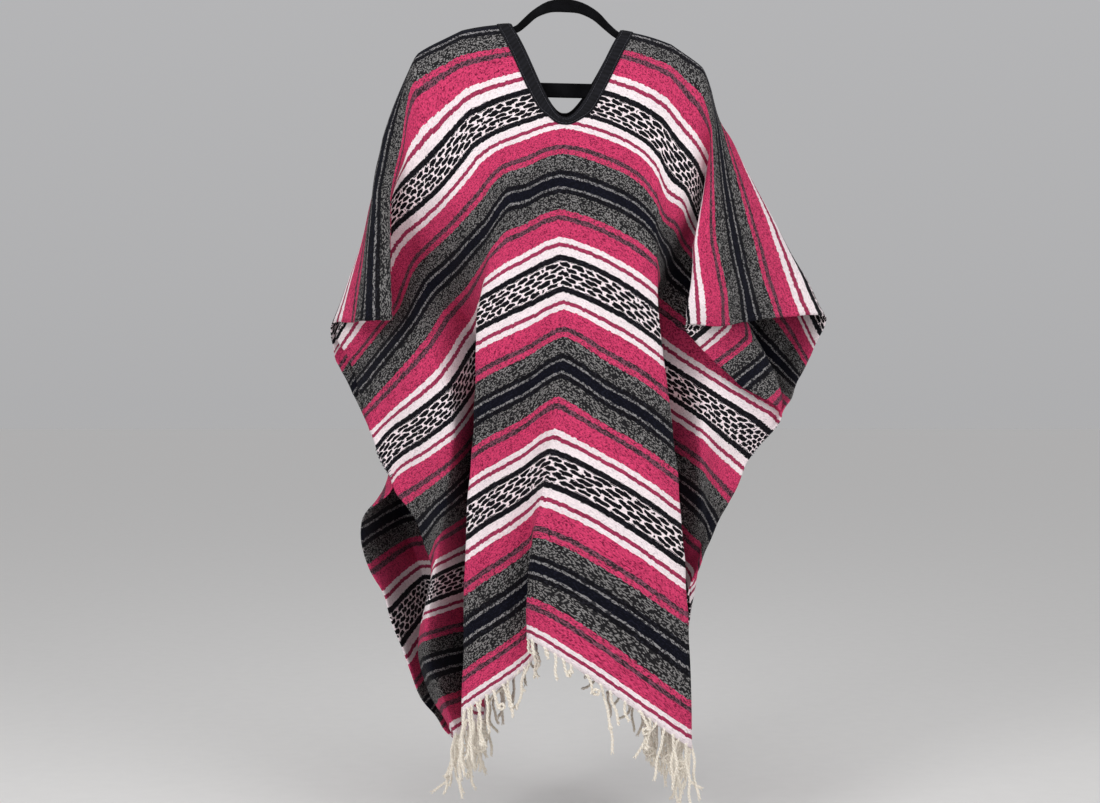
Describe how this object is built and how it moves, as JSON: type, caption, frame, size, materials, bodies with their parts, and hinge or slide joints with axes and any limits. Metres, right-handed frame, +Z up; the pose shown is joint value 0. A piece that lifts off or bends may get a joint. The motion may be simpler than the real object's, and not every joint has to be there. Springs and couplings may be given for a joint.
{
  "type": "poncho on a clothes hanger",
  "caption": "Striped blanket poncho with a bound neck opening and fringed hems, hanging in folds on a flat clothes hanger with a wire hook",
  "frame": {"origin": "inside top of the hanger's hook, where it bears on a rail", "axes": "+Z up, -Y the wearer's front, +X to the right in the picture, which is the wearer's left"},
  "size_m": [0.8284, 0.3636, 1.4015],
  "materials": {
    "cloth": "matt weft-faced weave with stripes",
    "tape": "matt twill tape",
    "yarn": "matt plied yarn",
    "flock": "flocked",
    "hook_wire": "bright"
  },
  "bodies": {
    "root": {"front_panel": "cloth", "back_panel": "cloth", "neck_binding": "tape", "front_fringe": "yarn", "back_fringe": "yarn", "hanger_frame": "flock", "hanger_hook": "hook_wire"}
  },
  "joints": []
}
